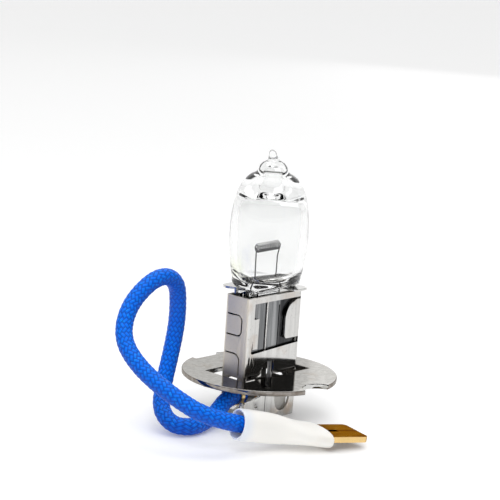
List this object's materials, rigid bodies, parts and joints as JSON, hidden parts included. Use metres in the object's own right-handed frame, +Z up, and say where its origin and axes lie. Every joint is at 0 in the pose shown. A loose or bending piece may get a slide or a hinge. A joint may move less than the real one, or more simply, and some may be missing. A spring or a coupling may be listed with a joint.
{
  "type": "headlight bulb",
  "caption": "Halogen headlight bulb on a notched round seat flange, with a braided lead that loops to a sleeved flat blade terminal.",
  "frame": {"origin": "centre of the base's lower edge, on the bulb's axis, on the surface that the bulb stands on", "axes": "+Z up along the bulb's axis towards the glass tip, X along the wide side of the sheet-metal holder, -Y the windowed front"},
  "size_m": [0.036, 0.0304, 0.0382],
  "materials": {
    "nickel_plate": "bright nickel plate with a faint satin grain",
    "spring_steel": "bright spring steel",
    "clear_glass": "clear fused quartz",
    "tungsten": "drawn tungsten wire",
    "molybdenum": "drawn and rolled molybdenum",
    "white_ceramic": "unglazed white steatite",
    "tin_plate": "tin-plated ribbed ferrule",
    "copper": "stranded bare copper",
    "brass": "stamped brass with a brown tarnish",
    "blue_braid": "tight glossy blue braid",
    "white_silicone": "soft white silicone, slightly cream at the blade"
  },
  "bodies": {
    "bulb": {"seat_flange": "nickel_plate", "holder_shell": "nickel_plate", "pinch_clip_front": "spring_steel", "pinch_clip_rear": "spring_steel", "glass_envelope": "clear_glass", "filament_coil": "tungsten", "filament_leg_left": "tungsten", "filament_leg_right": "tungsten", "seal_foil_left": "molybdenum", "seal_foil_right": "molybdenum", "outer_lead_left": "molybdenum", "outer_lead_right": "molybdenum", "base_shell_left": "nickel_plate", "base_shell_right": "nickel_plate", "base_insulator": "white_ceramic", "earth_lug": "nickel_plate", "crimp_ferrule": "tin_plate", "cable_core_base": "copper", "lead_joint": "brass", "cable_clamp": "brass", "cable_sheath": "blue_braid", "cable_core_terminal": "copper", "blade_terminal": "brass"},
    "sleeve": {"terminal_sleeve": "white_silicone"}
  },
  "joints": [
    {"name": "sleeve_slide", "type": "slide", "parent": "bulb", "child": "sleeve", "axis": [-0.9276, 0.3158, 0.1994], "range_m": [0, 0.003]}
  ]
}
